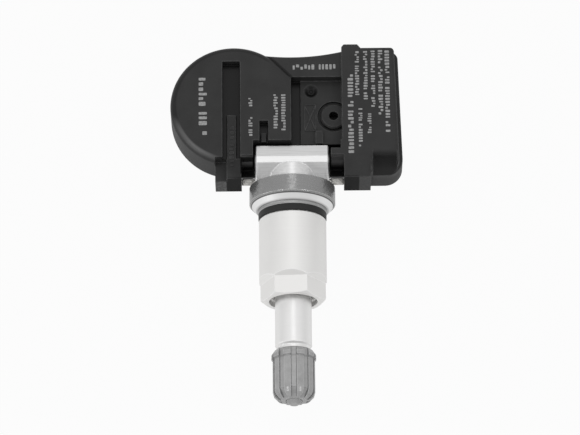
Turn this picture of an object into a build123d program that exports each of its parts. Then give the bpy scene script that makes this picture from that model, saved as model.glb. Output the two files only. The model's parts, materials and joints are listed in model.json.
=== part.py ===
from build123d import *
import math
import os

# Tyre pressure sensor on a clamp-in valve. Sizes are in millimetres.
# The origin lies on the valve axis where the nut meets the rubber, the seat of the wheel rim.
# -Y points out of the wheel along the valve, +Z out of the housing's marked face.

# Clearances
slip = 0.03  # radial, pieces pushed onto one another
running = 0.06  # radial, pieces that turn in one another
seat_gap = 0.15  # loose pieces in a pocket

# Stem and foot
stem_r = 3.875
thread_r = 4.9  # thread for the nut, outside
thread_root_r = 4.5
neck_r = 5.5
neck_end = 1.4
nut_thread_end = -16.6
stem_tip = -38.2
tip_thread_length = 10.0  # thread for the cap
tip_root_r = 3.45
tip_chamfer = 0.3
air_bore_r = 1.5
foot_half = 7.9
foot_front = 8.0
foot_back = 15.6
foot_bottom = -3.8
foot_top = 5.14
foot_flat = (11.5, 12.9)  # the bright flat on top, from its front to its back edge
foot_back_top = 4.35
foot_front_top = 1.35  # where the sloped front face ends
foot_edge = 0.35
foot_base_chamfer = 1.2
heel_start = 10.0  # where the underside rises to clear the housing's floor
heel_slope = 6

# Valve core
mouth_r = 2.6
mouth_depth = 7.6
core_seat_r = 1.95
core_seat_depth = 13.0
core_top_gap = 0.7
core_barrel_r = 1.8
core_plug_length = 4.4
core_barrel_length = 3.6
core_hole_r = 1.0
core_slot = 1.1
gasket_length = 1.4
pin_rod_r = 0.45
pin_tip_gap = 0.3  # tip below the stem's mouth
pin_head_r = 0.8
pin_head_length = 0.6
cup_r = 1.5
cup_length = 1.3
spring_r = 0.74
spring_wire = 0.2
spring_turns = 4
spring_sides = 4
spring_floor = 0.9  # thickness of the floor that the spring stands on

# Support ring, grommet and nut
ring_r = 9.15
ring_back = 7.38
ring_front = 3.45
ring_edge = 0.25
nose_r = (8.85, 7.6)  # cone of the nose, wide and narrow end
nose_end = 2.1
cove_r = 7.15
lip_r = 7.3
lip_length = 0.2
flange_r = 7.25
flange_round = 0.25
rim_hole_r = 5.65
grommet_fit = 0.05
grommet_neck = 3.6
nut_r = 7.16
nut_length = 18.3
nut_chamfer = 0.3
hex_flats = 12.0
hex_sides = 6
hex_length = 3.9
hex_turn = 85.3  # one flat faces nearly as the marked face does
shoulder_length = 1.0
hex_end_r = 6.0
hex_end_slope = 0.45
nut_bore_r = 5.15
nut_bore_depth = 1.5
washer_thickness = 0.8

# Cap
cap_reach = 8.7  # length of the stem inside the cap
cap_r = 4.46
cap_mouth_r = 4.1
cap_rim_r = 4.72
cap_rim_slope = 0.9
cap_rim_length = 1.7
cap_end_length = 1.9
cap_end_steps = (0, 30, 60, 90)  # angles of the rounded end
cap_nub_r = 1.6
cap_nub_length = 0.8
nub_flat_r = 0.9
nub_groove = 0.3
cap_wall = 1.35
cap_ceiling_chamfer = 0.9
flute_count = 10
flute_turn = 90  # one flute faces as the marked face does
flute_half_width = 0.62
flute_depth = 0.3
petal_start = 0.55  # above the end, where the flutes turn inwards
cap_seal_thickness = 0.8
cap_seal_margin = 1.0

# Hinge pin
hinge_y = 9.7
hinge_z = -1.8
pin_r = 0.65
pin_left = -15.9
pin_right = 14.4

# Housing, outline seen on the marked face
back_z = -3.86
face_z = 5.2
panel_z = 4.5
dome_x = -12.4
dome_y = 24.9
dome_r = 13.56
dome_round = 1.6
dome_leave = 45  # angle where the rim leaves the dome in a straight line
dome_turn = 265  # from there to inside the notch
rim_length = 4.2
back_y = 38.0
waist_start = (-9.6, 37.3)  # inside the dome
waist_lead = (1, -0.21)
waist_end = 12.8  # inside the square block
panel_round = 0.9
panel_right = 10.8
tab_right = 14.2
tab_slope = 0.5
tab_rise = 0.6
wall_back_x = 22.9
wall_front_x = 23.75
wall_front_round = 3.8
wall_back_round = 1.7
wall_left = 19.1  # inside the block
side_step = 0.8  # upper wall, inside the lower one
side_step_z = 2.0
block_front = 9.4
block_round = 0.75
pocket_left = -0.1
pocket_back = 31.4
pocket_z = 2.2
trench_right = 1.9
trench_depth = 0.5

# Ears, notch and front walls
notch_gap = 0.4  # between the foot and the walls of the notch
notch_back = 16.6
face_front = 12.9
face_edge = 0.4
floor_front = 11.3  # floor of the notch, under the foot
floor_z = -3.0
floor_gap = 0.3
ear_front = 8.4
ear_slope = (12.0, 4.3)  # where the right ear's top starts to fall, and how far
left_ear = (-16.4, -10.8)
right_ear = (11.1, 16.8)
ear_rib_z = 3.86
ear_low_z = 1.9
ear_split = -13.9  # between the ear's low part and its high part
corner_slot = (10.4, 14.7)  # right end and front edge of the slot beside the foot
corner_slot_z = -0.5

# Slots, ribs and marks on the face
slot = (-14.8, -11.0)
slot_back = 34.9
slot_z = 3.2
rib = (-13.8, -11.9)
rib_back = 22.9
small_slot = (-6.9, -5.0)
small_slot_back = 21.1
small_rib = (-6.5, -5.5)
small_rib_back = 18.6
small_rib_z = 4.2
port_x = 9.0
port_y = 23.1
port_r = 1.0
boss_r = 2.85
boss_edge = 0.35
boss_rise = 0.45
moat_r = 3.45
moat_depth = 0.5
dimple = (4.2, 29.0)
dimple_r = 1.55
dimple_floor_r = 0.7
dimple_depth = 0.45
nub_r = 0.35
stop_rib = (5.1, 6.6)
stop_rib_y = (16.6, 19.5)
stop_rib_rise = 0.8
scoop = (17.2, 22.4)
scoop_start = 14.4
scoop_mid = (12.9, 3.5)
scoop_end_z = 2.4
mark = (15.6, 10.7)
mark_r = 0.45
mark_depth = 0.12

# Inside of the housing
dome_wall = 1.5
cavity_front = 18.2
cavity_back = 34.6
cavity_right = 21.0
dome_ceiling = 2.0
dome_ceiling_right = -1.6
pocket_ceiling = 1.0
block_ceiling = 3.7
block_ceiling_left = 12.1
ledge = 0.6
cover_thickness = 1.0
pad_r = 0.9
pad_height = 0.3
pads = ((-19.5, 24.5), (5.0, 21.5), (17.0, 24.0))
board_margin = 0.5
board_thickness = 0.8

# Parts on the board
cell_x = -13.5
cell_y = 26.7
cell_r = 8.0
cell_height = 3.2
cell_edge = 0.4
tab_width = 3.0
tab_sheet = 0.2
tab_reach = 1.4  # leg of the upper tab beyond the cell
tab_overlap = 5.0
chip_side = 5.2
chip_height = 1.5
seal_r = 2.2
crystal_size = (3.2, 2.5, 0.8)
crystal_at = (15.6, 31.2)
coil_size = (8.6, 3.2, 2.6)
coil_at = (16.3, 20.9)
coil_flange = 1.1
coil_waist = 0.35
wire_r = 0.4
wire_sides = 6
antenna_x = (13.4, 20.2)
antenna_y = (28.6, 33.6)
antenna_z = 2.9
antenna_bend = 1.0

os.makedirs("parts", exist_ok=True)


# Helpers that draw in the part or sketch that is open where they are called
def field(across, along, mode=Mode.ADD):
    with Locations(((across[0] + across[1]) / 2, (along[0] + along[1]) / 2)):
        Rectangle(across[1] - across[0], along[1] - along[0], mode=mode)


def slab(across, along, up, mode=Mode.ADD):
    with Locations((across[0], along[0], up[0])):
        Box(across[1] - across[0], along[1] - along[0], up[1] - up[0], align=Align.MIN, mode=mode)


def disc(radius, start, end, mode=Mode.ADD):
    with Locations(Location((0, start, 0), (-90, 0, 0))):
        Cylinder(radius, end - start, align=(Align.CENTER, Align.CENTER, Align.MIN), mode=mode)


# Outline of the hollow in the housing, grown on every side
def hollow(growth=0):
    with Locations((dome_x, dome_y)):
        Circle(dome_r - dome_wall + growth)
    field((dome_x, cavity_right + growth), (cavity_front - growth, cavity_back + growth))
    field((dome_x - dome_r, dome_x + dome_r), (dome_y - dome_r, cavity_front - growth), Mode.SUBTRACT)


def finish(piece, name):
    piece.part.label = name
    export_step(piece.part, f"parts/{name}.step")


# Foot, neck and stem, turned and milled from one bar. Its threads are cut down to their roots.
heel_z = floor_z + floor_gap
heel_rise = (foot_back - floor_front) * math.tan(math.radians(heel_slope))
with BuildPart() as valve_stem:
    with BuildSketch(Plane.YZ.offset(-foot_half)):
        Polygon(
            (foot_front, foot_bottom + foot_base_chamfer),
            (foot_front + foot_base_chamfer, foot_bottom),
            (heel_start, foot_bottom),
            (floor_front, heel_z),
            (foot_back, heel_z + heel_rise),
            (foot_back, foot_back_top),
            (foot_flat[1], foot_top),
            (foot_flat[0], foot_top),
            (foot_front, foot_front_top),
        )
    extrude(amount=2 * foot_half)
    chamfer(valve_stem.faces().filter_by(Axis.X).edges(), foot_edge)
    with BuildSketch(Plane.XY):
        Polygon(
            (0, foot_flat[1]),
            (neck_r, foot_flat[1]),
            (neck_r, neck_end),
            (thread_r, neck_end),
            (thread_r, -grommet_neck),
            (thread_root_r, -grommet_neck - (thread_r - thread_root_r)),
            (thread_root_r, nut_thread_end + thread_root_r - stem_r),
            (stem_r, nut_thread_end),
            (stem_r, stem_tip + tip_thread_length),
            (tip_root_r, stem_tip + tip_thread_length - (stem_r - tip_root_r)),
            (tip_root_r, stem_tip + tip_chamfer),
            (tip_root_r - tip_chamfer, stem_tip),
            (0, stem_tip),
        )
    revolve(axis=Axis.Y)
    # The part of the neck that stands above the foot's flat is milled off
    slab((-foot_half, foot_half), (foot_flat[0], foot_back), (foot_top, 2 * foot_top), Mode.SUBTRACT)
    # So is what hangs below the foot, behind its front chamfer
    with BuildSketch(Plane.YZ.offset(-foot_half)):
        Polygon(
            (foot_front + foot_base_chamfer, foot_bottom),
            (heel_start, foot_bottom),
            (floor_front, heel_z),
            (foot_back, heel_z + heel_rise),
            (foot_back, 2 * foot_bottom),
            (foot_front + foot_base_chamfer, 2 * foot_bottom),
        )
    extrude(amount=2 * foot_half, mode=Mode.SUBTRACT)
    # Mouth with the seat of the core, then the air bore to the back of the foot
    with BuildSketch(Plane.XY):
        Polygon(
            (0, foot_back),
            (air_bore_r, foot_back),
            (air_bore_r, stem_tip + core_seat_depth),
            (core_seat_r, stem_tip + core_seat_depth),
            (core_seat_r, stem_tip + mouth_depth),
            (mouth_r, stem_tip + mouth_depth - (mouth_r - core_seat_r)),
            (mouth_r, stem_tip),
            (0, stem_tip),
        )
    revolve(axis=Axis.Y, mode=Mode.SUBTRACT)
    with BuildSketch(Plane.YZ.offset(-foot_half)):
        with Locations((hinge_y, hinge_z)):
            Circle(pin_r + running)
    extrude(amount=2 * foot_half, mode=Mode.SUBTRACT)
finish(valve_stem, "valve_stem")

# Grey ring that backs the rubber on the inside of the rim
with BuildPart() as support_ring:
    with BuildSketch(Plane.XY):
        Polygon(
            (neck_r + slip, ring_back),
            (ring_r - ring_edge / 2, ring_back),
            (ring_r, ring_back - ring_edge / 2),
            (ring_r, ring_front + ring_edge),
            (ring_r - ring_edge, ring_front),
            (nose_r[0], ring_front),
            (nose_r[1], nose_end),
            (cove_r, nose_end),
            (cove_r, neck_end + lip_length),
            (lip_r, neck_end + lip_length),
            (lip_r, neck_end),
            (neck_r + slip, neck_end),
        )
    revolve(axis=Axis.Y)
finish(support_ring, "support_ring")

# Rubber grommet: its flange seats on the ring, its neck fills the rim hole
with BuildPart() as seal_grommet:
    with BuildSketch(Plane.XY):
        Polygon(
            (thread_r + slip, neck_end),
            (flange_r, neck_end),
            (flange_r, flange_round),
            (flange_r - flange_round, 0),
            (rim_hole_r - grommet_fit, 0),
            (rim_hole_r - grommet_fit, -grommet_neck),
            (thread_r + slip, -grommet_neck),
        )
    revolve(axis=Axis.Y)
finish(seal_grommet, "seal_grommet")

# Cutter for one flat of the nut's hexagon, which runs out in a slope
hex_start = hex_length - nut_length
with BuildPart() as hex_cutter:
    with BuildSketch(Plane.XY):
        Polygon(
            (hex_flats / 2, -2 * nut_length),
            (hex_flats / 2, hex_start),
            (nut_r, hex_start + shoulder_length),
            (2 * nut_r, hex_start + shoulder_length),
            (2 * nut_r, -2 * nut_length),
        )
    extrude(amount=nut_r, both=True)

# Sleeve nut: a round sleeve whose end is milled to a hexagon, with a pocket for the grommet's neck
pocket_depth = grommet_neck + washer_thickness
nut_pocket_r = rim_hole_r + seat_gap
with BuildPart() as sleeve_nut:
    with BuildSketch(Plane.XY):
        Polygon(
            (0, 0),
            (nut_r - nut_chamfer, 0),
            (nut_r, -nut_chamfer),
            (nut_r, (nut_r - hex_end_r) * hex_end_slope - nut_length),
            (hex_end_r, -nut_length),
            (0, -nut_length),
        )
    revolve(axis=Axis.Y)
    for step in range(hex_sides):
        add(hex_cutter.part, rotation=(0, hex_turn + step * 360 / hex_sides, 0), mode=Mode.SUBTRACT)
    with BuildSketch(Plane.XY):
        Polygon(
            (0, 0),
            (nut_pocket_r, 0),
            (nut_pocket_r, -pocket_depth),
            (thread_r + running, -pocket_depth),
            (thread_r + running, nut_bore_depth - nut_length),
            (nut_bore_r, nut_bore_depth - nut_length - (nut_bore_r - thread_r)),
            (nut_bore_r, -nut_length),
            (0, -nut_length),
        )
    revolve(axis=Axis.Y, mode=Mode.SUBTRACT)
finish(sleeve_nut, "sleeve_nut")

# Captive washer between the grommet's neck and the nut
with BuildPart() as nut_washer:
    disc(nut_pocket_r - seat_gap / 2, -pocket_depth, -grommet_neck)
    disc(thread_r + running, -pocket_depth, -grommet_neck, Mode.SUBTRACT)
finish(nut_washer, "nut_washer")

# Core plug: screwed into the stem's mouth, slotted for its key, with a barrel that holds the spring
plug_top = stem_tip + core_top_gap
plug_end = plug_top + core_plug_length
barrel_end = plug_end + core_barrel_length
with BuildPart() as core_body:
    disc(mouth_r - running, plug_top, plug_end)
    disc(core_barrel_r, plug_end, barrel_end)
    disc(core_hole_r, plug_top, barrel_end - spring_floor, Mode.SUBTRACT)
    disc(pin_rod_r + running, plug_top, barrel_end, Mode.SUBTRACT)
    slab(
        (-mouth_r, mouth_r),
        (plug_top, plug_top + core_slot),
        (-core_slot / 2, core_slot / 2),
        Mode.SUBTRACT,
    )
finish(core_body, "core_body")

# Soft ring on the core's barrel, pressed on the seat in the stem
with BuildPart() as core_gasket:
    disc(mouth_r - seat_gap, plug_end, plug_end + gasket_length)
    disc(core_barrel_r, plug_end, plug_end + gasket_length, Mode.SUBTRACT)
finish(core_gasket, "core_gasket")

# Pin with its head, which the spring pushes outwards
pin_tip = stem_tip + pin_tip_gap
cup_end = barrel_end + cup_length
with BuildPart() as core_pin:
    disc(pin_head_r, pin_tip, pin_tip + pin_head_length)
    disc(pin_rod_r, pin_tip, cup_end)
finish(core_pin, "core_pin")

# Cup on the inner end of the pin, which closes the barrel
with BuildPart() as core_cup:
    disc(cup_r, barrel_end, cup_end)
    disc(pin_rod_r, barrel_end, cup_end, Mode.SUBTRACT)
finish(core_cup, "core_cup")

# Spring between the floor of the barrel and the head of the pin, of square wire
spring_start = pin_tip + pin_head_length + spring_wire / 2
spring_length = barrel_end - spring_floor - spring_wire / 2 - spring_start
with BuildPart() as core_spring:
    with BuildLine():
        coil = Helix(
            spring_length / spring_turns, spring_length, spring_r, (0, spring_start, 0), (0, 1, 0)
        )
    with BuildSketch(Plane(coil @ 0, z_dir=coil % 0)):
        RegularPolygon(spring_wire / 2, spring_sides)
    sweep(is_frenet=True)
finish(core_spring, "core_spring")

# One flute of the cap, which turns inwards over the rounded end
cap_open = stem_tip + cap_reach
cap_ceiling = stem_tip - cap_seal_thickness
cap_end = cap_ceiling - cap_wall
cap_bore_r = stem_r + running
cap_end_r = cap_r - cap_end_length
flute_r = cap_r - flute_depth
with BuildPart() as flute:
    with BuildSketch(Plane.XY):
        Polygon(
            (flute_r, cap_open),
            (flute_r, cap_end + cap_end_length),
            (cap_end_r + petal_start, cap_end + petal_start),
            (cap_end_r, cap_end),
            (cap_end_r, cap_end - cap_nub_length),
            (2 * cap_r, cap_end - cap_nub_length),
            (2 * cap_r, cap_open),
        )
    extrude(amount=flute_half_width, both=True)

# Cap: fluted plastic with a flared rim, a rounded end and a nub on it
cap_bend = [
    (
        cap_end_r + cap_end_length * math.cos(math.radians(angle)),
        cap_end + cap_end_length * (1 - math.sin(math.radians(angle))),
    )
    for angle in cap_end_steps
]
with BuildPart() as valve_cap:
    with BuildSketch(Plane.XY):
        with BuildLine():
            Polyline(
                (cap_bore_r, cap_open),
                (cap_mouth_r, cap_open),
                (cap_rim_r, cap_open - cap_rim_slope),
                (cap_rim_r, cap_open - cap_rim_length),
                (cap_r, cap_open - cap_rim_length - (cap_rim_r - cap_r)),
                *cap_bend,
                (cap_nub_r + nub_groove, cap_end),
                (cap_nub_r, cap_end + nub_groove),
                (cap_nub_r, cap_end),
                (nub_flat_r, cap_end - cap_nub_length),
                (0, cap_end - cap_nub_length),
                (0, cap_ceiling),
                (cap_bore_r - cap_ceiling_chamfer, cap_ceiling),
                (cap_bore_r, cap_ceiling + cap_ceiling_chamfer),
                close=True,
            )
        make_face()
    revolve(axis=Axis.Y)
    for step in range(flute_count):
        add(flute.part, rotation=(0, flute_turn + step * 360 / flute_count, 0), mode=Mode.SUBTRACT)
finish(valve_cap, "valve_cap")

# Rubber disc in the cap, which closes on the stem's mouth
with BuildPart() as cap_seal:
    disc(cap_bore_r - cap_seal_margin, cap_ceiling, cap_ceiling + cap_seal_thickness)
finish(cap_seal, "cap_seal")

# Hinge pin, pressed into both ears
with BuildPart() as hinge_pin:
    with BuildSketch(Plane.YZ.offset(pin_left)):
        with Locations((hinge_y, hinge_z)):
            Circle(pin_r)
    extrude(amount=pin_right - pin_left)
finish(hinge_pin, "hinge_pin")

# Outer foot of the block's wall, a little wider than the wall above it
with BuildPart() as wall_foot:
    with BuildSketch(Plane.XY.offset(back_z)):
        Polygon(
            (wall_left, block_front),
            (wall_front_x, block_front),
            (wall_back_x, back_y),
            (wall_left, back_y),
        )
    extrude(amount=side_step_z - back_z)
    corners = wall_foot.edges().filter_by(Axis.Z).sort_by(Axis.X)
    fillet(corners[-1], wall_front_round)
    fillet(corners[-2], wall_back_round)

# Square block on the right, with the right ear and the tab on its back edge
with BuildPart() as block:
    with BuildSketch(Plane.XY.offset(back_z)):
        Polygon(
            (right_ear[0], ear_front),
            (right_ear[1], ear_front),
            (right_ear[1], block_front),
            (wall_front_x - side_step, block_front),
            (wall_back_x - side_step, back_y),
            (tab_right + tab_slope, back_y),
            (tab_right, back_y + tab_rise),
            (panel_right + tab_slope, back_y + tab_rise),
            (panel_right, back_y),
            (panel_right, face_front),
            (right_ear[0], face_front),
        )
    extrude(amount=face_z - back_z)
    corners = block.edges().filter_by(Axis.Z).sort_by(Axis.X)
    fillet(corners[-1], wall_front_round - side_step)
    fillet(corners[-2], wall_back_round - side_step)
    fillet(block.edges().group_by(Axis.Z)[-1].sort_by(Axis.X)[-1], block_round)
    # The ear's top falls towards the front
    with BuildSketch(Plane.YZ.offset(right_ear[0])):
        Polygon((ear_slope[0], face_z), (ear_front, ear_slope[1]), (ear_front, face_z))
    extrude(amount=right_ear[1] - right_ear[0], mode=Mode.SUBTRACT)
    add(wall_foot.part)

# Low panel behind the pocket, between the dome and the block
with BuildPart() as panel:
    with BuildSketch(Plane.XY.offset(back_z)):
        with BuildLine():
            waist = TangentArc(waist_start, (waist_end, back_y), tangent=waist_lead)
            Polyline(waist @ 1, (waist_end, notch_back), (dome_x, notch_back), waist @ 0)
        make_face()
    extrude(amount=panel_z - back_z)
    fillet(panel.edges().filter_by(GeomType.CIRCLE).group_by(Axis.Z)[-1], panel_round)

# Housing shell
above = 2 * face_z
notch_half = foot_half + notch_gap
with BuildPart() as housing_shell:
    # Round dome over the cell, whose rounded rim runs on straight to the pocket
    with BuildSketch(Plane.XY.offset(back_z)):
        with BuildLine():
            round_wall = CenterArc((dome_x, dome_y), dome_r, dome_leave, dome_turn)
            rim = PolarLine(round_wall @ 0, rim_length, dome_leave - 90)
            Polyline(rim @ 1, ((rim @ 1).X, (round_wall @ 1).Y), round_wall @ 1)
        make_face()
    extrude(amount=face_z - back_z)
    fillet(housing_shell.edges().filter_by(GeomType.CIRCLE).group_by(Axis.Z)[-1], dome_round)
    add(panel.part)
    add(block.part)
    # Room for the valve foot and its neck, over a floor that stops the foot
    slab((left_ear[0], right_ear[0]), (0, face_front), (back_z, above), Mode.SUBTRACT)
    slab((-notch_half, notch_half), (0, notch_back), (back_z, above), Mode.SUBTRACT)
    slab((left_ear[1], right_ear[0]), (floor_front, notch_back), (back_z, floor_z))
    # Wall beside the foot on the right, and the bevel on the front edge of both walls
    slab((notch_half, right_ear[0]), (face_front, notch_back), (back_z, face_z))
    with BuildSketch(Plane.YZ.offset(left_ear[1])):
        Polygon((face_front, face_z), (face_front, face_z - face_edge), (face_front + face_edge, face_z))
    extrude(amount=right_ear[0] - left_ear[1], mode=Mode.SUBTRACT)
    # Left ear, low outside and high where the rib runs onto it
    slab(left_ear, (ear_front, face_front), (back_z, ear_low_z))
    slab((ear_split, left_ear[1]), (ear_front, face_front), (back_z, ear_rib_z))
    # Long slot with its rib, and the short slot beside the foot
    slab(slot, (face_front, slot_back), (slot_z, above), Mode.SUBTRACT)
    slab(rib, (face_front, rib_back), (slot_z, ear_rib_z))
    slab(small_slot, (notch_back, small_slot_back), (slot_z, above), Mode.SUBTRACT)
    slab(small_rib, (notch_back, small_rib_back), (slot_z, small_rib_z))
    slab((notch_half, corner_slot[0]), (corner_slot[1], notch_back), (corner_slot_z, above), Mode.SUBTRACT)
    # Pocket with a trench along its left wall
    slab((pocket_left, panel_right), (notch_back, pocket_back), (pocket_z, above), Mode.SUBTRACT)
    slab(
        (pocket_left, trench_right),
        (notch_back, pocket_back),
        (pocket_z - trench_depth, above),
        Mode.SUBTRACT,
    )
    # Boss of the pressure port in a shallow moat
    with BuildSketch(Plane.XY.offset(pocket_z)):
        with Locations((port_x, port_y)):
            Circle(moat_r)
        field((pocket_left, panel_right), (notch_back, pocket_back), Mode.INTERSECT)
    extrude(amount=-moat_depth, mode=Mode.SUBTRACT)
    with BuildSketch(Plane.XY.offset(pocket_z - moat_depth)):
        with Locations((port_x, port_y)):
            Circle(boss_r)
    extrude(amount=moat_depth + boss_rise - boss_edge)
    with Locations((port_x, port_y, pocket_z + boss_rise - boss_edge / 2)):
        Cone(boss_r, boss_r - boss_edge, boss_edge)
    # Hollow with the gate's nub, stop rib and ejector mark
    with Locations((dimple[0], dimple[1], pocket_z - dimple_depth / 2)):
        Cone(dimple_floor_r, dimple_r, dimple_depth, mode=Mode.SUBTRACT)
    with Locations((dimple[0], dimple[1], pocket_z - dimple_depth)):
        Cylinder(nub_r, dimple_depth)
    slab(stop_rib, stop_rib_y, (pocket_z, pocket_z + stop_rib_rise))
    with Locations((mark[0], mark[1], face_z)):
        Cylinder(mark_r, 2 * mark_depth, mode=Mode.SUBTRACT)
    # Scoop at the front right, which falls in an S
    with BuildSketch(Plane.YZ.offset(scoop[0])):
        with BuildLine():
            fall = Spline(
                (scoop_start, face_z),
                scoop_mid,
                (ear_front, scoop_end_z),
                tangents=((-1, 0), (-1, 0)),
            )
            Polyline(fall @ 1, (ear_front, above), (scoop_start, above), fall @ 0)
        make_face()
    extrude(amount=scoop[1] - scoop[0], mode=Mode.SUBTRACT)
    # Hollow from the back, as high as the face above it allows
    with BuildSketch(Plane.XY.offset(back_z)):
        hollow(ledge)
    extrude(amount=cover_thickness, mode=Mode.SUBTRACT)
    with BuildSketch(Plane.XY.offset(back_z)):
        hollow()
    extrude(amount=pocket_ceiling - back_z, mode=Mode.SUBTRACT)
    with BuildSketch(Plane.XY.offset(back_z)):
        hollow()
        field((dome_x - dome_r, dome_ceiling_right), (cavity_front, 2 * dome_y), Mode.INTERSECT)
    extrude(amount=dome_ceiling - back_z, mode=Mode.SUBTRACT)
    slab(
        (block_ceiling_left, cavity_right),
        (cavity_front, cavity_back),
        (back_z, block_ceiling),
        Mode.SUBTRACT,
    )
    # Port through the boss, and the pin's holes in the ears
    with Locations((port_x, port_y, pocket_ceiling)):
        Cylinder(port_r, above, mode=Mode.SUBTRACT)
    with Locations(Location((left_ear[0], hinge_y, hinge_z), (0, 90, 0))):
        Cylinder(
            pin_r,
            pin_right - left_ear[0],
            align=(Align.CENTER, Align.CENTER, Align.MIN),
            mode=Mode.SUBTRACT,
        )
finish(housing_shell, "housing_shell")

# Cover welded into the back, with pads that carry the board
board_z = back_z + cover_thickness + pad_height
with BuildPart() as back_cover:
    with BuildSketch(Plane.XY.offset(back_z)):
        hollow(ledge - slip)
    extrude(amount=cover_thickness)
    with BuildSketch(Plane.XY.offset(back_z + cover_thickness)):
        with Locations(*pads):
            Circle(pad_r)
    extrude(amount=pad_height)
finish(back_cover, "back_cover")

# Circuit board
board_top = board_z + board_thickness
with BuildPart() as circuit_board:
    with BuildSketch(Plane.XY.offset(board_z)):
        hollow(-board_margin)
    extrude(amount=board_thickness)
finish(circuit_board, "circuit_board")

# Coin cell between its two tabs
cell_z = board_top + tab_sheet
cell_top = cell_z + cell_height
tab_start = cell_x + cell_r - tab_overlap
tab_end = cell_x + cell_r + tab_reach
with BuildPart() as coin_cell:
    with Locations((cell_x, cell_y, cell_z)):
        Cylinder(cell_r, cell_height, align=(Align.CENTER, Align.CENTER, Align.MIN))
    chamfer(coin_cell.edges().group_by(Axis.Z)[-1], cell_edge)
finish(coin_cell, "coin_cell")

with BuildPart() as cell_tab_bottom:
    slab((tab_start, tab_end), (cell_y - 2 * tab_width, cell_y - tab_width), (board_top, cell_z))
finish(cell_tab_bottom, "cell_tab_bottom")

with BuildPart() as cell_tab_top:
    slab(
        (tab_start, tab_end),
        (cell_y - tab_width / 2, cell_y + tab_width / 2),
        (cell_top, cell_top + tab_sheet),
    )
    slab(
        (tab_end - tab_sheet, tab_end),
        (cell_y - tab_width / 2, cell_y + tab_width / 2),
        (board_top, cell_top + tab_sheet),
    )
finish(cell_tab_top, "cell_tab_top")

# Pressure chip under the port, and the soft ring that joins them
chip_top = board_top + chip_height
with BuildPart() as sensor_chip:
    with Locations((port_x, port_y, board_top)):
        Box(chip_side, chip_side, chip_height, align=(Align.CENTER, Align.CENTER, Align.MIN))
    with Locations((port_x, port_y, chip_top)):
        Cylinder(port_r / 2, chip_height, mode=Mode.SUBTRACT)
finish(sensor_chip, "sensor_chip")

with BuildPart() as port_seal:
    with Locations((port_x, port_y, chip_top)):
        Cylinder(seal_r, pocket_ceiling - chip_top, align=(Align.CENTER, Align.CENTER, Align.MIN))
        Cylinder(port_r, 2 * (pocket_ceiling - chip_top), mode=Mode.SUBTRACT)
finish(port_seal, "port_seal")

# Crystal, wake-up coil and antenna loop
with BuildPart() as crystal:
    with Locations((crystal_at[0], crystal_at[1], board_top)):
        Box(*crystal_size, align=(Align.CENTER, Align.CENTER, Align.MIN))
    fillet(crystal.edges().filter_by(Axis.Z), crystal_size[2] / 2)
finish(crystal, "crystal")

with BuildPart() as lf_coil:
    with Locations((coil_at[0], coil_at[1], board_top + coil_size[2] / 2)):
        Box(coil_size[0], coil_size[1] - 2 * coil_waist, coil_size[2] - 2 * coil_waist)
    for end in (-1, 1):
        with Locations((coil_at[0] + end * (coil_size[0] - coil_flange) / 2, coil_at[1], board_top)):
            Box(coil_flange, coil_size[1], coil_size[2], align=(Align.CENTER, Align.CENTER, Align.MIN))
finish(lf_coil, "lf_coil")

with BuildPart() as antenna_loop:
    with BuildLine():
        loop = FilletPolyline(
            (antenna_x[0], antenna_y[1], board_top),
            (antenna_x[0], antenna_y[1], antenna_z),
            (antenna_x[1], antenna_y[1], antenna_z),
            (antenna_x[1], antenna_y[0], antenna_z),
            (antenna_x[1], antenna_y[0], board_top),
            radius=antenna_bend,
        )
    with BuildSketch(Plane(loop @ 0, z_dir=loop % 0)):
        RegularPolygon(wire_r, wire_sides)
    sweep()
finish(antenna_loop, "antenna_loop")
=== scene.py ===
import json
import math

import bpy
import numpy as np
from mathutils import Matrix, Vector


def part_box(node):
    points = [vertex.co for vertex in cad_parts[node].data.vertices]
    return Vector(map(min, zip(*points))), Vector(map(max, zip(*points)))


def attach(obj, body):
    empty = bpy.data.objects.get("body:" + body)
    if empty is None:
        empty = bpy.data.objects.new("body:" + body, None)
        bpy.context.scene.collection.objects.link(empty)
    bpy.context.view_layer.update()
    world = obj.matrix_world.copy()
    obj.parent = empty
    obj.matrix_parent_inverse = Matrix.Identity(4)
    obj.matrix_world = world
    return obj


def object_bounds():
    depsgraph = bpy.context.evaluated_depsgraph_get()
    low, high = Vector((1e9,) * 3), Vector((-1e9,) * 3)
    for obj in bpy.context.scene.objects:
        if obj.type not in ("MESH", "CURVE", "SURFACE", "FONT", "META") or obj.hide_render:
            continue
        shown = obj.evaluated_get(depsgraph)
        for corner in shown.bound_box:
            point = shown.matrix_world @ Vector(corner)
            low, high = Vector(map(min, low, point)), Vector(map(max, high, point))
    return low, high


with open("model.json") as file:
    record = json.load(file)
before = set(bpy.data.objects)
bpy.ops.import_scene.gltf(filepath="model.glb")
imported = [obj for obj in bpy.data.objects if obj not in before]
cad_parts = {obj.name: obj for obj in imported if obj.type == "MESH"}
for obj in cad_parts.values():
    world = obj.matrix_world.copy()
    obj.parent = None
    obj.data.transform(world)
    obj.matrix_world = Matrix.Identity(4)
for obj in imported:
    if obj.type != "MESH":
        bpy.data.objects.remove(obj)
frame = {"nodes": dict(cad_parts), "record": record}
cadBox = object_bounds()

mm = 0.001
nodes = frame["nodes"]


# Mesh tools

def gridFaces(rows, cols, wrapRows=False, wrapCols=False):
    # quads between neighbouring points of a grid, wrapped round where asked
    i, j = np.meshgrid(
        np.arange(rows if wrapRows else rows - 1), np.arange(cols if wrapCols else cols - 1), indexing="ij"
    )
    nextI, nextJ = (i + 1) % rows, (j + 1) % cols
    corners = [i * cols + j, nextI * cols + j, nextI * cols + nextJ, i * cols + nextJ]
    return np.stack(corners, -1).reshape(-1, 4)


def easeIn(t):
    # a smooth step: three t squared less two t cubed, held at 0 and 1 outside
    t = np.clip(t, 0, 1)
    return t * t * (3 - 2 * t)


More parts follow.
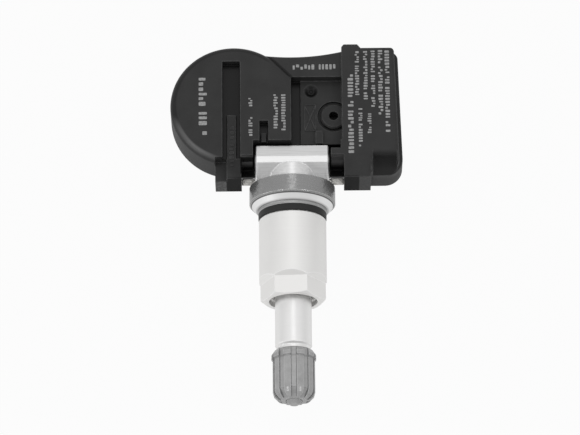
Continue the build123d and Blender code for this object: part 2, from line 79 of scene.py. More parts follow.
def aroundY(radius, angle, y):
    # point at a radius and an angle round the valve axis
    return np.stack([radius * np.sin(angle), y + 0 * radius * angle, radius * np.cos(angle)], -1)


def addPiece(name, points, faces, body, material, smooth=True):
    # a mesh from points in millimetres, riding on a body
    mesh = bpy.data.meshes.new(name)
    mesh.from_pydata((points.reshape(-1, 3) * mm).tolist(), [], [list(f) for f in faces])
    mesh.polygons.foreach_set("use_smooth", np.full(len(mesh.polygons), smooth))
    mesh.materials.append(material)
    piece = bpy.data.objects.new(name, mesh)
    bpy.context.scene.collection.objects.link(piece)
    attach(piece, body)
    print("piece:", name, len(mesh.polygons), "faces")


# Shader tools

class Wire:  # a node's output, on which Python maths adds Math nodes
    def __init__(self, tree, socket):
        self.tree = tree
        self.socket = socket

    def feed(self, socket, value):
        if isinstance(value, Wire):
            self.tree.links.new(value.socket, socket)
        else:
            socket.default_value = value

    def node(self, kind, settings=None, values=None, out=0):
        made = self.tree.nodes.new("ShaderNode" + kind)
        for key, value in (settings or {}).items():
            if key == "stops":
                setStops(made.color_ramp, value)
            else:
                setattr(made, key, value)
        for key, value in (values or {}).items():
            self.feed(made.inputs[key], value)
        return Wire(self.tree, made.outputs[out])

    def maths(self, operation, *values):
        return self.node("Math", {"operation": operation}, dict(enumerate(values)))

    def __add__(self, other):
        return self.maths("ADD", self, other)

    def __radd__(self, other):
        return self.maths("ADD", other, self)

    def __sub__(self, other):
        return self.maths("SUBTRACT", self, other)

    def __rsub__(self, other):
        return self.maths("SUBTRACT", other, self)

    def __mul__(self, other):
        return self.maths("MULTIPLY", self, other)

    def __rmul__(self, other):
        return self.maths("MULTIPLY", other, self)

    def __gt__(self, other):
        return self.maths("GREATER_THAN", self, other)

    def __lt__(self, other):
        return self.maths("LESS_THAN", self, other)


def grey(level):
    return (level, level, level)


def setStops(ramp, stops):
    # a grey level at each position along the ramp
    while len(ramp.elements) < len(stops):
        ramp.elements.new(1)
    for element, (position, level) in zip(ramp.elements, stops):
        element.position = position
        element.color = (*grey(level), 1)


def ramp(value, *stops):
    # the value turned into the grey levels at the stops, and evenly between them
    return value.node("ValToRGB", {"stops": stops}, {0: value})


def blend(first, second, share):
    # first where share is 0, second where it is 1, and in proportion between
    return first + (second - first) * share


def reachOf(a, b):
    # length across two legs at right angles: the root of the sum of their squares
    return a.maths("SQRT", a * a + b * b)


def axesOf(place):
    # X, Y and Z of a place
    split = place.node("SeparateXYZ", None, {0: place}).socket.node
    return [Wire(place.tree, socket) for socket in split.outputs]


def rising(value, low, high):
    # a smooth step from 0 at low to 1 at high, in millimetres
    return value.node("MapRange", {"interpolation_type": "SMOOTHSTEP"}, {0: value, 1: low * mm, 2: high * mm})


def band(value, start, full, fading, end):
    # 0 up to start, 1 from full to fading, and 0 again past end
    return rising(value, start, full) - rising(value, fading, end)


def zone(place, limits, soft=0.1):
    # 1 inside a box with soft sides, 0 outside; limits are in millimetres along X, Y and Z
    mask = 1
    for value, (low, high) in zip(axesOf(place), limits):
        mask = mask * band(value, low - soft, low + soft, high - soft, high + soft)
    return mask


def noise(place, size, detail=3, stretch=(1, 1, 1)):
    # cloudy values from 0 to 1 in lumps of about size millimetres, drawn out along the axes by stretch
    scale = tuple(1 / (size * mm * s) for s in stretch)
    spot = place.node("VectorMath", {"operation": "MULTIPLY"}, {0: place, 1: scale})
    return place.node("TexNoise", None, {"Vector": spot, "Scale": 1, "Detail": detail})


def mottle(place, fine, cloud, fineShare=0.4, stops=((0.35, 0), (0.65, 1))):
    # clouds of about cloud millimetres with the fine grain laid over them, spread to run from 0 to 1
    return ramp(blend(noise(place, cloud), fine, fineShare), *stops)


def specks(place, size):
    # a random colour for each grain of about size millimetres
    return place.node("TexVoronoi", None, {"Vector": place, "Scale": 1 / (size * mm)}, "Color")


def shadeOf(colour):
    # how light a colour is, from 0 to 1
    return colour.node("RGBToBW", None, {0: colour})


def mixColour(factor, low, high):
    # the low colour where the factor is 0, the high one where it is 1;
    # a Mix node's sockets 6 and 7 are its colours, and its output 2 is the mixed one
    full = lambda tone: tone if isinstance(tone, Wire) else (*tone, 1)
    return factor.node("Mix", {"data_type": "RGBA"}, {0: factor, 6: full(low), 7: full(high)}, 2)


def softNormal(place, edge, samples=6):
    # the surface's direction, turned smoothly over edges as if each had a radius of edge millimetres
    return place.node("Bevel", {"samples": samples}, {"Radius": edge * mm})


def bump(height, depth, soft):
    # the soft direction, tilted by a height of up to depth millimetres
    return height.node("Bump", None, {"Height": height, "Distance": depth * mm, "Normal": soft})


def edgeLines(soft, low=0.01, high=0.08):
    # 1 along edges, where the softened direction leaves the true one
    true = soft.node("NewGeometry", None, None, "Normal")
    apart = 1 - soft.node("VectorMath", {"operation": "DOT_PRODUCT"}, {0: soft, 1: true}, "Value")
    return ramp(apart, (low, 0), (high, 1))


def newMaterial(name):
    # a plain shader, its sockets, and the place on the object that patterns start from
    made = bpy.data.materials.new(name)
    made.use_nodes = True
    tree = made.node_tree
    place = Wire(tree, tree.nodes.new("ShaderNodeTexCoord").outputs["Object"])
    return made, tree.nodes["Principled BSDF"].inputs, place


# Moulded plastics and rubbers: a dull skin with a fine grain, cloudy in tone

def mouldedFinish(
    name, dark, light, grain=0.22, grainDepth=0.012, dull=(0.45, 0.62), cloud=4.0, edge=0.12, shine=0.4
):
    made, sockets, place = newMaterial(name)
    fine = noise(place, grain)
    place.feed(sockets["Base Color"], mixColour(mottle(place, fine, cloud), dark, light))
    place.feed(sockets["Roughness"], blend(*dull, fine))
    place.feed(sockets["Normal"], bump(fine, grainDepth, softNormal(place, edge)))
    sockets["Specular IOR Level"].default_value = shine
    return made


# The housing's skin: grained faces, recesses and rim in painted shade, a glossy worn patch with a painted
# highlight, scuffed ears

housingSkin = dict(
    # smooth is the near-black that the painted shade mixes towards; the pale tone is for worn edges and
    # painted highlights
    dark=grey(0.024), light=grey(0.035), smooth=grey(0.003), scuffed=grey(0.11), paleHighlightTone=grey(0.10),
    grain=0.2, grainDepth=0.014, grainShare=0.5, cloud=4.0, edge=0.35, dull=(0.45, 0.62), shine=0.22,
    # boxes along X, Y and Z: the recesses lose most of their grain and are painted darker as shade, the scoop
    # nearly as dark
    recesses=(
        ((-14.9, -10.9), (12.8, 35.0), (3.0, 3.5)),
        ((-7.0, -4.9), (16.5, 21.2), (3.0, 3.5)),
        ((-0.2, 10.8), (16.5, 31.5), (1.4, 2.05)),
        ((-10.9, 11.2), (8.6, 16.7), (-4.2, 2.6)),
        ((-11.0, -8.0), (9.5, 14.2), (2.6, 4.6)),
    ),
    smoothDull=0.35, grainLost=0.8,
    scoop=((17.3, 22.3), (8.8, 13.6), (0.5, 6.0)), scoopSoft=0.9, scoopPaintedShade=0.85,
    # front walls with no shine at all, painted darker as shade
    mattAndPaintedShade=(
        ((-14.0, -10.5), (8.0, 8.7), (-3.8, 6.0)),
        ((11.0, 14.3), (8.0, 8.7), (-3.8, 6.0)),
        ((-11.0, -8.0), (9.5, 14.2), (2.0, 4.6)),
    ),
    mattWallDull=0.95, wallPaintedShade=0.3,
    # the scuffed ends of the ears with their strength, and the patches in the scuffs and along the edges
    scuffs=((((-16.5, -14.0), (8.0, 8.6), (-3.8, 1.7)), 1.0), (((14.3, 16.7), (8.0, 8.6), (-3.8, 4.0)), 0.2)),
    scuffSize=0.5, scuffStops=((0.4, 0.2), (0.6, 1)), wearSize=1.2, wearStops=((0.35, 0.3), (0.6, 1)),
    # the dome's middle and radius, its rim in painted shade, and the rim's worn patch with a painted
    # highlight: the way to it from the middle,
    # how far along that way it fades in, and the distance from the middle where it fades out
    domeX=-12.4, domeY=24.9, domeR=13.56,
    rimWidth=1.5, rimSoft=0.4, rimPaintedShade=0.5, rimLow=3.3, rimEnd=(6.5, 8.5),
    wornAim=(-0.69, -0.72), wornFrom=(10.2, 12.2), wornOut=(12.7, 13.5),
    wornShine=1.0, wornDull=0.33, patchHighlightTone=0.45,
    # the painted shade along the step where the rim meets the panel: its width, its soft outer side, and
    # where it starts
    stepShadeWidth=0.8, stepShadeOut=(0.05, 0.25), stepShadeStart=(-9.6, 31.2), stepShadeFade=(1.5, 0.4),
)


def domeFields(place, s):
    # the rim is a ring about the dome's middle, in painted shade but on its inner half towards one side, worn
    # glossy with a painted highlight;
    # the step's painted shade follows the ring and leaves it along the tangent at 45 degrees
    x, y, z = axesOf(place)
    right, back = x - s["domeX"] * mm, y - s["domeY"] * mm
    spread = reachOf(right, back)
    rimStart = s["domeR"] - s["rimWidth"]
    rim = rising(spread, rimStart, rimStart + s["rimSoft"])
    rim = rim * rising(z, s["rimLow"], s["rimLow"] + s["rimSoft"]) * (1 - rising(right, *s["rimEnd"]))
    worn = rim * rising(right * s["wornAim"][0] + back * s["wornAim"][1], *s["wornFrom"])
    glossAndHighlight = worn * (1 - rising(spread, *s["wornOut"]))
    diagonal = math.sqrt(0.5)
    ahead, aside = (right + back) * diagonal, place.maths("MINIMUM", (right - back) * diagonal, 0)
    steps = (-s["stepShadeWidth"], -s["stepShadeWidth"] / 2, *s["stepShadeOut"])
    stepShade = band(reachOf(ahead, aside), *(s["domeR"] + step for step in steps))
    for value, start, fade in zip((x, y), s["stepShadeStart"], s["stepShadeFade"]):
        stepShade = stepShade * rising(value, start, start + fade)
    return rim - worn, glossAndHighlight, stepShade


def housingFinish(name, s):
    # over the mottled skin lie the painted shade of the recesses, the scoop, the step, the rim and the matt
    # walls, then the edges, pale from wear and painted highlight, and the worn patch's painted highlight,
    # then the scuffs
    made, sockets, place = newMaterial(name)
    rim, glossAndHighlight, stepShade = domeFields(place, s)
    fine = noise(place, s["grain"])
    skin = mixColour(mottle(place, fine, s["cloud"], s["grainShare"]), s["dark"], s["light"])
    # masks of painted shade: the recesses, the scoop, the step below the rim and the rim
    deep = sum(zone(place, limits) for limits in s["recesses"])
    deep = deep + s["scoopPaintedShade"] * zone(place, s["scoop"], s["scoopSoft"]) + stepShade + s["rimPaintedShade"] * rim
    mattAndPaintedShade = sum(zone(place, limits) for limits in s["mattAndPaintedShade"])
    rubbed = sum(zone(place, limits) * weight for limits, weight in s["scuffs"])
    rubbed = rubbed * ramp(noise(place, s["scuffSize"], detail=4), *s["scuffStops"])
    soft = softNormal(place, s["edge"])
    # pale edges: partly edge wear, partly painted highlight
    edges = edgeLines(soft) * (1 - deep) * ramp(noise(place, s["wearSize"], detail=4), *s["wearStops"])
    # painted shade: recesses, scoop, step, rim and matt front walls darkened towards the smooth near-black
    skin = mixColour(deep + s["wallPaintedShade"] * mattAndPaintedShade, skin, s["smooth"])
    # painted highlight: the edges, partly worn, and the glossy patch are lightened towards the pale tone
    skin = mixColour(edges + s["patchHighlightTone"] * glossAndHighlight, skin, s["paleHighlightTone"])
    place.feed(sockets["Base Color"], mixColour(rubbed, skin, s["scuffed"]))
    dull = blend(blend(*s["dull"], fine), s["smoothDull"], deep)
    place.feed(sockets["Roughness"], blend(dull, s["mattWallDull"], mattAndPaintedShade))
    place.feed(sockets["Normal"], bump(fine * (1 - s["grainLost"] * deep), s["grainDepth"], soft))
    place.feed(sockets["Coat Weight"], s["wornShine"] * glossAndHighlight)
    sockets["Coat Roughness"].default_value = s["wornDull"]
    sockets["Specular IOR Level"].default_value = s["shine"]
    return made


# The cap: grey plastic with painted shade at the foot of its flutes and where they meet the collar, and
# painted highlights along their edges

capSkin = dict(
    # the dark tone is painted shade in the creases, the pale one a painted highlight on the raised edges
    dark=grey(0.33), light=grey(0.41), creaseShade=grey(0.03), pale=grey(0.62), grain=0.3, grainDepth=0.008,
    dull=(0.12, 0.24), cloud=1.5, edge=0.26,
    # the ring about which the rounded end bends, the outside's distance from it, the depth of the flutes,
    # and the shares of that depth where their walls start and end
    bendR=2.56, bendY=-38.45, outside=1.9, fluteDepth=0.3, fluteWall=(0.8, 0.2),
    # the line where the flutes meet the collar, along Y, painted darker as shade
    collarFoot=(-31.75, -31.55, -31.3, -31.15), footShade=0.25,
)


def capFinish(name, s):
    # depth under the outside, measured from the ring about which the rounded end bends
    made, sockets, place = newMaterial(name)
    x, y, z = axesOf(place)
    out = place.maths("MAXIMUM", reachOf(x, z) - s["bendR"] * mm, 0)
    down = place.maths("MINIMUM", y - s["bendY"] * mm, 0)
    raised = rising(reachOf(out, down), *(s["outside"] - share * s["fluteDepth"] for share in s["fluteWall"]))
    fine = noise(place, s["grain"])
    soft = softNormal(place, s["edge"])
    foot = band(y, *s["collarFoot"])
    edges = edgeLines(soft) * (1 - foot)
    tone = mixColour(mottle(place, fine, s["cloud"]), s["dark"], s["light"])
    # painted shade along the flutes' hollow edges and where they meet the collar
    tone = mixColour(edges * (1 - raised) + s["footShade"] * foot, tone, s["creaseShade"])
    # painted highlight along the flutes' raised edges
    place.feed(sockets["Base Color"], mixColour(edges * raised, tone, s["pale"]))
    place.feed(sockets["Roughness"], blend(*s["dull"], fine))
    place.feed(sockets["Normal"], bump(fine, s["grainDepth"], soft))
    return made


# Bare metals: fine lines round the valve axis from the lathe, or along X from the mill, and edges with a
# painted highlight

lathe = dict(
    lineSize=0.09, lineStretch=(60, 1, 60), lineDepth=0.0012, lineShare=0.7, dullShare=0.5,
    millSize=0.27, millStretch=(30, 1, 1), millStops=((0.3, 0), (0.7, 1)),
    # the gain on the light tone gives the edges' painted highlight
    cloud=3.5, edge=0.25, edgeHighlightGain=1.2,
    # the paler stretch where the stem stands out of the nut
    satinTone=(1, 0.995, 0.985), satinShare=0.55, satinDull=0.06,
)


def latheLines(place):
    # noise drawn out across the valve axis, so that it changes only along it
    return noise(place, lathe["lineSize"], detail=2, stretch=lathe["lineStretch"])


def turnedFinish(name, dark, light, dull=(0.25, 0.4), milledFrom=None, satinTo=None):
    # tone and dullness follow the lines and a broad cloud, and the edges are painted brighter as a highlight
    s = lathe
    made, sockets, place = newMaterial(name)
    lines = latheLines(place)
    if milledFrom is not None:
        along = ramp(noise(place, s["millSize"], stretch=s["millStretch"]), *s["millStops"])
        lines = blend(lines, along, axesOf(place)[1] > milledFrom * mm)
    broad = noise(place, s["cloud"])
    soft = softNormal(place, s["edge"])
    tone = mixColour(blend(broad, lines, s["lineShare"]), dark, light)
    bright = tuple(min(1, s["edgeHighlightGain"] * level) for level in light)
    rough = blend(*dull, blend(broad, lines, s["dullShare"]))
    if satinTo is not None:
        satin = axesOf(place)[1] < satinTo * mm
        tone = mixColour(s["satinShare"] * satin, tone, s["satinTone"])
        rough = rough + s["satinDull"] * satin
    # painted highlight along the edges
    place.feed(sockets["Base Color"], mixColour(edgeLines(soft), tone, bright))
    place.feed(sockets["Roughness"], rough)
    place.feed(sockets["Normal"], bump(lines, s["lineDepth"], soft))
    sockets["Metallic"].default_value = 1
    return made


# Grained metals: crystals or grit that catch the light one by one

def grainedFinish(name, dark, light, dull, grit, gritDepth, gritShare=0.6, cloud=2.5, edge=0.1):
    made, sockets, place = newMaterial(name)
    grains = shadeOf(specks(place, grit))
    tone = blend(noise(place, cloud), grains, gritShare)
    place.feed(sockets["Base Color"], mixColour(tone, dark, light))
    place.feed(sockets["Roughness"], blend(*dull, grains))
    place.feed(sockets["Normal"], bump(noise(place, grit, detail=2), gritDepth, softNormal(place, edge)))
    sockets["Metallic"].default_value = 1
    return made


# The support ring: a dull grey outside whose grains lean a little, each its own way, with painted highlights
# on its edges, and a bright turned nose

ringSkin = dict(
    # the hollow tone is painted shade in the nose's hollow, and the groove tone a painted shade of a groove
    dark=grey(0.27), light=grey(0.33), turnedDark=grey(0.84), turnedLight=grey(0.92), hollow=grey(0.5),
    groove=grey(0.12), paleHighlightTone=grey(0.75), dull=(0.14, 0.33), turnedDull=0.4, castMetal=0.7,
    grit=0.24, gritShare=0.3, cloud=2.5, lean=0.11, edge=0.2,
    # ends of the turned nose and of the dull outside along Y, the painted groove shade before the first, the
    # nose's hollow in painted shade
    noseEnd=3.4, backStart=7.27, soft=0.1, grooveWidth=0.22, hollowR=(7.55, 7.95),
)


def ringFinish(name, s):
    # the place along Y and the distance from the valve axis choose between outside, nose, the hollow's
    # painted shade and the painted groove shade
    made, sockets, place = newMaterial(name)
    x, y, z = axesOf(place)
    nose = 1 - rising(y, s["noseEnd"], s["noseEnd"] + s["soft"])
    turned = nose + rising(y, s["backStart"], s["backStart"] + s["soft"] / 2)
    hollow = nose * (1 - rising(reachOf(x, z), *s["hollowR"]))
    grooveStart = s["noseEnd"] - s["grooveWidth"]
    groove = nose * rising(y, grooveStart, grooveStart + s["soft"])
    grains = specks(place, s["grit"])
    shade = shadeOf(grains)
    soft = softNormal(place, s["edge"])
    cast = mixColour(blend(noise(place, s["cloud"]), shade, s["gritShare"]), s["dark"], s["light"])
    # painted highlight: the outside's edges lightened towards the pale tone
    cast = mixColour(edgeLines(soft), cast, s["paleHighlightTone"])
    bright = mixColour(latheLines(place), s["turnedDark"], s["turnedLight"])
    # painted shade in the nose's hollow
    bright = mixColour(hollow, bright, s["hollow"])
    # painted shade of a groove: a dark line before the nose's end
    place.feed(sockets["Base Color"], mixColour(groove, mixColour(turned, cast, bright), s["groove"]))
    place.feed(sockets["Metallic"], blend(s["castMetal"], 1, turned))
    place.feed(sockets["Roughness"], blend(blend(*s["dull"], shade), s["turnedDull"], turned))
    lean = place.node("VectorMath", {"operation": "SUBTRACT"}, {0: grains, 1: grey(0.5)})
    lean = place.node("VectorMath", {"operation": "SCALE"}, {0: lean, "Scale": s["lean"] * (1 - turned)})
    leaning = place.node("VectorMath", {"operation": "ADD"}, {0: soft, 1: lean})
    place.feed(sockets["Normal"], place.node("VectorMath", {"operation": "NORMALIZE"}, {0: leaning}))
    return made


# One finish for each slot, put on every CAD node that has the slot

finishes = {
    "housing_plastic": housingFinish("housingPlastic", housingSkin),
    "cover_plastic": mouldedFinish("coverPlastic", grey(0.020), grey(0.029), grain=0.3, grainDepth=0.02),
    "cap_plastic": capFinish("capPlastic", capSkin),
    "seal_rubber": mouldedFinish(
        "sealRubber", grey(0.010), grey(0.018), grain=0.2, grainDepth=0.01, dull=(0.5, 0.65)
    ),
    "washer_plastic": mouldedFinish("washerPlastic", (0.62, 0.61, 0.57), (0.70, 0.69, 0.65)),
    "core_rubber": mouldedFinish("coreRubber", (0.25, 0.035, 0.02), (0.33, 0.055, 0.035)),
    "port_rubber": mouldedFinish("portRubber", grey(0.014), grey(0.02)),
    "board_laminate": mouldedFinish("boardLacquer", (0.01, 0.11, 0.04), (0.02, 0.15, 0.06), dull=(0.25, 0.4)),
    "chip_plastic": mouldedFinish("chipPlastic", grey(0.010), grey(0.016), grain=0.1, grainDepth=0.006),
    "coil_ferrite": mouldedFinish(
        "coilFerrite", (0.04, 0.038, 0.036), (0.06, 0.058, 0.055), grain=0.15, grainDepth=0.01
    ),
    "stem_metal": turnedFinish("stemMetal", grey(0.67), grey(0.86), (0.3, 0.45), milledFrom=7.9, satinTo=-15),
    "nut_metal": turnedFinish("nutMetal", (0.845, 0.84, 0.83), (0.925, 0.92, 0.908), (0.48, 0.6)),
    "core_brass": turnedFinish("coreBrass", (0.56, 0.40, 0.14), (0.66, 0.48, 0.20)),
    "spring_steel": turnedFinish("springSteel", grey(0.45), grey(0.55)),
    "antenna_wire": turnedFinish("antennaWire", (0.55, 0.27, 0.14), (0.64, 0.33, 0.18)),
    "ring_metal": ringFinish("ringMetal", ringSkin),
    "pin_steel": grainedFinish(
        "pinSteel", (0.35, 0.34, 0.32), (0.96, 0.95, 0.92), dull=(0.3, 0.55), grit=0.2, gritDepth=0.01
    ),
    "cell_steel": grainedFinish(
        "cellSteel", grey(0.54), grey(0.64), dull=(0.25, 0.35), grit=0.3, gritDepth=0.002
    ),
}
for part in frame["record"]["subparts"]:
    nodes[part["node"]].material_slots[0].material = finishes[part["material_slot"]]
print("finishes:", len(finishes))


# Thread turns on the stem, whose solid is cut down to the root of both threads

tipThread = dict(rootR=3.45, crestR=3.84, pitch=0.79375, start=-28.75, end=-37.75)
nutThread = dict(rootR=4.5, crestR=4.88, pitch=1.0, start=-4.75, end=-15.6)
ridge = dict(
    # the section of both: places across it in pitches, with the share of the depth that each rises
    across=(-0.46, -0.12, -0.06, 0.06, 0.12, 0.46), rise=(0, 0.9, 1, 1, 0.9, 0),
    steps=72, sink=0.06, runOut=0.4,
)


def threadTurns(name, s):
    # a flat-topped ridge carried along a right-hand helix round Y, which swells from nothing at both ends
    turns = abs(s["end"] - s["start"]) / s["pitch"]
    t = np.linspace(0, turns, int(turns * ridge["steps"]) + 1)[:, None]
    swell = easeIn(np.minimum(t, turns - t) / ridge["runOut"])
    foot = s["rootR"] - ridge["sink"]
    radius = foot + (s["crestR"] - foot) * np.array(ridge["rise"]) * swell
    points = aroundY(radius, -2 * math.pi * t, s["start"] + s["pitch"] * (np.array(ridge["across"]) - t))
    rows, cols = radius.shape
    ends = [list(range(cols)), list(range(rows * cols - 1, rows * cols - cols - 1, -1))]
    faces = gridFaces(rows, cols, wrapCols=True)[:, ::-1].tolist() + ends
    addPiece(name, points, faces, "valve", finishes["stem_metal"])


threadTurns("tipThreadTurns", tipThread)
threadTurns("nutThreadTurns", nutThread)


# Knurl on both ends of the hinge pin, between the foot and the ears

knurl = dict(
    inner=0.6, low=0.66, high=0.76, ridges=24, ridgeSteps=6, edge=0.15, spans=((-10.7, -8.3), (8.3, 11.0)),
)
pinLow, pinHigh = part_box("hinge_pin")
pinCentre = (pinLow + pinHigh) / 2 / mm


def pinKnurl(name, span, s):
    # a closed ring round the pin whose outer wall waves with the angle, chamfered at both ends
    x = np.array([span[0], span[0], span[0] + s["edge"], span[1] - s["edge"], span[1], span[1]])[:, None]
    full = np.array([0, 0, 1, 1, 0, 0])[:, None]
    outer = np.array([0, 1, 1, 1, 1, 0])[:, None]
    angle = np.linspace(0, 2 * math.pi, s["ridges"] * s["ridgeSteps"], endpoint=False)[None, :]
    wave = 0.5 + 0.5 * np.cos(s["ridges"] * angle)
    radius = s["inner"] + outer * (s["low"] - s["inner"] + full * (s["high"] - s["low"]) * wave)
    points = np.stack(
        [x + 0 * radius, pinCentre.y + radius * np.sin(angle), pinCentre.z + radius * np.cos(angle)], -1
    )
    faces = gridFaces(*radius.shape, wrapRows=True, wrapCols=True)
    addPiece(name, points, faces[:, ::-1], "housing", finishes["pin_steel"])


for side, span in zip(("Left", "Right"), knurl["spans"]):
    pinKnurl("pinKnurl" + side, span, knurl)


# Printed marks on the face: rows of plain blocks

ink = dict(faded=grey(0.24), fresh=grey(0.36), dull=(0.5, 0.7), patch=0.35, stops=((0.4, 0), (0.6, 1)))
plate = dict(sides=20, topShare=0.96, sunkShare=0.5)
marks = dict(
    thick=0.02, corner=0.3, seed=11, faceZ=5.2, panelZ=4.5,
    # sizes along a row, as shares of its height
    narrow=0.3, wide=0.5, gap=0.2, wordGap=0.7, wordEnd=0.14, talls=(0.5, 0.75, 0.9, 0.9),
    # across, from, to and height of each row that runs along Y
    faceRows=(
        (-18.97, 17.3, 31.1, 2.0),
        (-8.8, 24.2, 26.3, 0.95), (-8.8, 16.8, 21.9, 0.95),
        (-3.4, 18.1, 27.1, 1.05), (-1.75, 18.1, 27.1, 1.05),
        (12.65, 13.3, 31.6, 1.35), (14.1, 26.4, 37.0, 1.0), (14.7, 14.8, 23.7, 0.95),
        (15.9, 24.7, 37.0, 1.0), (16.6, 17.7, 22.5, 0.95), (17.5, 23.8, 37.1, 1.0),
        (19.1, 22.2, 37.2, 1.1), (20.55, 17.7, 37.1, 1.1),
    ),
    # the same for the row on the panel, which runs along X
    panelRow=(33.7, -0.5, 9.5, 1.35),
)


def printInk(name, s):
    # fresh ink with faded patches
    made, sockets, place = newMaterial(name)
    fresh = ramp(noise(place, s["patch"]), *s["stops"])
    place.feed(sockets["Base Color"], mixColour(fresh, s["faded"], s["fresh"]))
    place.feed(sockets["Roughness"], blend(*s["dull"], fresh))
    return made


def dashPlates(centres, lengths, heights, z, s, alongY):
    # low plates with rounded corners: a superellipse rim, and one slightly inside it for the top
    angle = np.linspace(0, 2 * math.pi, plate["sides"], endpoint=False)
    bulge = lambda v: np.sign(v) * np.abs(v) ** s["corner"]
    ring = np.array([1, plate["topShare"]])[:, None]
    long = lengths[:, None, None] / 2 * bulge(np.cos(angle)) * ring
    tall = heights[:, None, None] / 2 * bulge(np.sin(angle)) * ring
    right, back = (tall, -long) if alongY else (long, tall)
    level = z + np.array([-plate["sunkShare"], 1])[:, None] * s["thick"] + 0 * long
    return np.stack([centres[:, 0, None, None] + right, centres[:, 1, None, None] + back, level], -1)


def addPlates(name, plates, material):
    # a wall between the two rims of each plate, and a face over each rim
    points = np.concatenate(plates)
    count, rows, cols = points.shape[:3]
    starts = (np.arange(count) * rows * cols)[:, None]
    quads = gridFaces(rows, cols, wrapCols=True)[:, ::-1]
    walls = (quads[None] + starts[:, None]).reshape(-1, 4)
    tops, floors = starts + cols + np.arange(cols), starts + np.arange(cols)[::-1]
    addPiece(name, points, [*walls, *tops, *floors], "housing", material, smooth=False)


def printRow(fixed, start, end, height, z, s, random, alongY):
    # blocks of uneven width and height from end to start, with a wider gap after some of them
    count = int((end - start) / (s["narrow"] * height)) + 1
    lengths = height * random.uniform(s["narrow"], s["wide"], count)
    gaps = height * np.where(random.random(count) < s["wordEnd"], s["wordGap"], s["gap"])
    stops = np.cumsum(lengths + gaps)
    keep = stops - gaps <= end - start
    tall = height * random.choice(s["talls"], count)
    shift = (height * max(s["talls"]) - tall) / 2 * random.choice((-1, 1), count)
    middles = end - stops + gaps + lengths / 2
    pair = [fixed + shift[keep], middles[keep]]
    centres = np.stack(pair if alongY else pair[::-1], -1)
    return dashPlates(centres, lengths[keep], tall[keep], z, s, alongY)


def printedMarks(s):
    # rows along Y on the face, then the one along X on the panel
    random = np.random.default_rng(s["seed"])
    plates = [printRow(*row, s["faceZ"], s, random, True) for row in s["faceRows"]]
    plates.append(printRow(*s["panelRow"], s["panelZ"], s, random, False))
    addPlates("printedMarks", plates, printInk("printInk", ink))


printedMarks(marks)


# Raised marks that the mould leaves: a row of blocks on the rib, and a crossed frame in the pocket

relief = dict(
    thick=0.13, corner=0.25, seed=5, ribZ=3.86, pocketZ=2.2, bar=0.22, crossBar=0.3, crossSink=0.012,
    narrow=0.4, wide=0.7, gap=0.3, wordGap=0.9, wordEnd=0.2, talls=(0.7, 0.9),
    ribRow=(-12.85, 10.5, 20.3, 1.2), frameX=(2.8, 5.2), frameY=(19.8, 25.8),
)


def crossPlates(middle, width, height, s):
    # two bars between opposite corners: level plates, turned about the middle and sunk by unequal steps
    reach = np.full(2, math.hypot(width, height))
    flat = dashPlates(np.zeros((2, 2)), reach, np.full(2, s["crossBar"]), s["pocketZ"], s, False)
    turn = np.array([1, -1])[:, None, None] * math.atan2(height, width)
    sink = np.array([1, 2])[:, None, None] * s["crossSink"]
    x, y, level = np.moveaxis(flat, -1, 0)
    right, back = x * np.cos(turn) - y * np.sin(turn), x * np.sin(turn) + y * np.cos(turn)
    return np.stack([middle[0] + right, middle[1] + back, level - sink], -1)


def raisedMarks(s):
    # the frame is two bars along Y and two along X, which meet at their ends
    (left, right), (front, back) = s["frameX"], s["frameY"]
    middleX, middleY = (left + right) / 2, (front + back) / 2
    bars = np.full(2, s["bar"])
    posts = np.array([(left, middleY), (right, middleY)])
    rails = np.array([(middleX, front), (middleX, back)])
    plates = [
        printRow(*s["ribRow"], s["ribZ"], s, np.random.default_rng(s["seed"]), True),
        dashPlates(posts, np.full(2, back - front), bars, s["pocketZ"], s, True),
        dashPlates(rails, np.full(2, right - left), bars, s["pocketZ"], s, False),
        crossPlates((middleX, middleY), right - left, back - front, s),
    ]
    addPlates("raisedMarks", plates, finishes["housing_plastic"])


raisedMarks(relief)


# Floor, light and camera

stage = dict(
    # the floor lies low enough for the housing to tilt above it
    floorDrop=7.2, floorHalf=900, dark=grey(0.5), light=grey(0.52), cloud=30, dull=0.9, cameraWhite=0.95,
    # what a glossy surface sees of the floor, at the left and the right of the object
    glossy=(0.72, 0.66), glossyFrom=-25, glossyTo=30,
)


def layFloor(s):
    # a square of paper, which the camera and shiny surfaces see as an even glow
    half, z = s["floorHalf"], cadBox[0].z / mm - s["floorDrop"]
    corners = np.array([(-half, -half, z), (half, -half, z), (half, half, z), (-half, half, z)]) * mm
    mesh = bpy.data.meshes.new("floor")
    mesh.from_pydata(corners.tolist(), [], [(0, 1, 2, 3)])
    made, sockets, place = newMaterial("floorPaper")
    tree = made.node_tree
    place.feed(sockets["Base Color"], mixColour(noise(place, s["cloud"], detail=2), s["dark"], s["light"]))
    sockets["Roughness"].default_value = s["dull"]
    sockets["Specular IOR Level"].default_value = 0
    rays = ("Is Camera Ray", "Is Transmission Ray", "Is Glossy Ray")
    camera, through, glossy = (place.node("LightPath", None, None, ray) for ray in rays)
    side = rising(axesOf(place)[0], s["glossyFrom"], s["glossyTo"])
    seen = (camera + through) * s["cameraWhite"] + glossy * blend(*s["glossy"], side)
    paper = Wire(tree, tree.nodes["Principled BSDF"].outputs[0])
    glow = place.node("Emission", None, {"Color": (1, 1, 1, 1), "Strength": 1})
    mixed = place.node("MixShader", None, {0: seen, 1: paper, 2: glow})
    place.feed(tree.nodes["Material Output"].inputs["Surface"], mixed)
    mesh.materials.append(made)
    floor = bpy.data.objects.new("floor", mesh)
    bpy.context.scene.collection.objects.link(floor)


sky = dict(level=0.66, up=0.12, left=0.01, back=0.02)


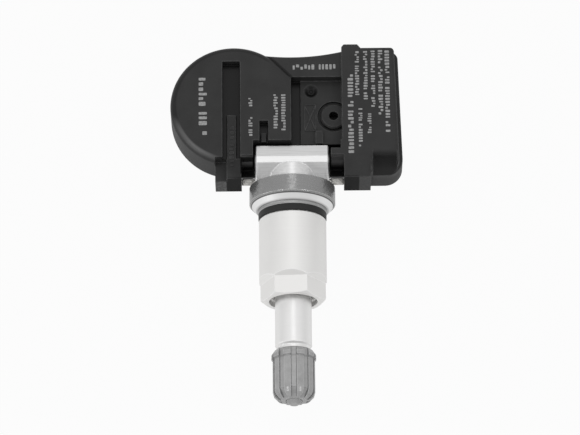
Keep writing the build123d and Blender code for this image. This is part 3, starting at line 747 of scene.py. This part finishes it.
def hangSky(s):
    # soft light from all round, which grows evenly towards the zenith, the left and the back
    world = bpy.data.worlds.new("studio")
    bpy.context.scene.world = world
    world.use_nodes = True
    tree = world.node_tree
    way = Wire(tree, tree.nodes.new("ShaderNodeTexCoord").outputs["Generated"])
    x, y, z = axesOf(way)
    tone = s["level"] + s["up"] * z - s["left"] * x + s["back"] * y
    sockets = tree.nodes["Background"].inputs
    way.feed(sockets["Strength"], tone)
    sockets["Color"].default_value = (1, 1, 1, 1)


lamps = dict(
    # where each soft lamp hangs, what it faces, its size and how bright it looks
    overhead=((0, 180, 470), (0, 0, 0), (90, 300), 1.3),
    leftFront=((-500, -285, 150), (-10, 15, 0), (260, 200), 1.9),
    glintLeft=((-283, -105, 407), (0, -38, 0), (50, 50), 18),
    glintRight=((283, -105, 407), (0, -38, 0), (50, 50), 18),
)


def softbox(name, place, aim, size, glow):
    # the lamp's power is its glow times pi times its area
    data = bpy.data.lights.new(name, "AREA")
    data.shape = "RECTANGLE"
    data.size, data.size_y = size[0] * mm, size[1] * mm
    data.energy = glow * math.pi * data.size * data.size_y
    lamp = bpy.data.objects.new(name, data)
    lamp.location = Vector(place) * mm
    lamp.rotation_euler = (Vector(aim) - Vector(place)).to_track_quat("-Z", "Y").to_euler()
    bpy.context.scene.collection.objects.link(lamp)


shot = dict(
    elevation=69, distance=850, roll=-0.5, sensor=36, clip=(50, 5000),
    # the picture's width and scale, in pixels and pixels to the millimetre, and where the origin falls in it
    imageWidth=580, scale=4.70, originPixel=(292.5, 221.2), centrePixel=(290, 217.5),
)


def setCamera(s):
    # the camera looks down from the front, past the origin by the pixels between it and the picture's middle,
    # and its lens is the sensor's width times distance and scale over the picture's width
    tilt = math.radians(s["elevation"])
    back = Vector((0, -math.cos(tilt), math.sin(tilt)))
    up = Vector((0, math.sin(tilt), math.cos(tilt)))
    offX = (s["centrePixel"][0] - s["originPixel"][0]) / s["scale"]
    offY = (s["originPixel"][1] - s["centrePixel"][1]) / s["scale"]
    aim = (Vector((offX, 0, 0)) + up * offY) * mm
    data = bpy.data.cameras.new("camera")
    data.sensor_width = s["sensor"]
    data.lens = s["sensor"] * s["distance"] * s["scale"] / s["imageWidth"]
    data.clip_start, data.clip_end = (reach * mm for reach in s["clip"])
    camera = bpy.data.objects.new("camera", data)
    turn = Matrix.Rotation(math.radians(s["roll"]), 3, "Z")
    facing = Matrix((Vector((1, 0, 0)), up, back)).transposed() @ turn
    camera.matrix_world = Matrix.Translation(aim + back * s["distance"] * mm) @ facing.to_4x4()
    bpy.context.scene.collection.objects.link(camera)
    bpy.context.scene.camera = camera


layFloor(stage)
hangSky(sky)
for lampName, lamp in lamps.items():
    softbox(lampName, *lamp)
setCamera(shot)
bpy.context.scene.view_settings.view_transform = "Standard"
print("stage set")
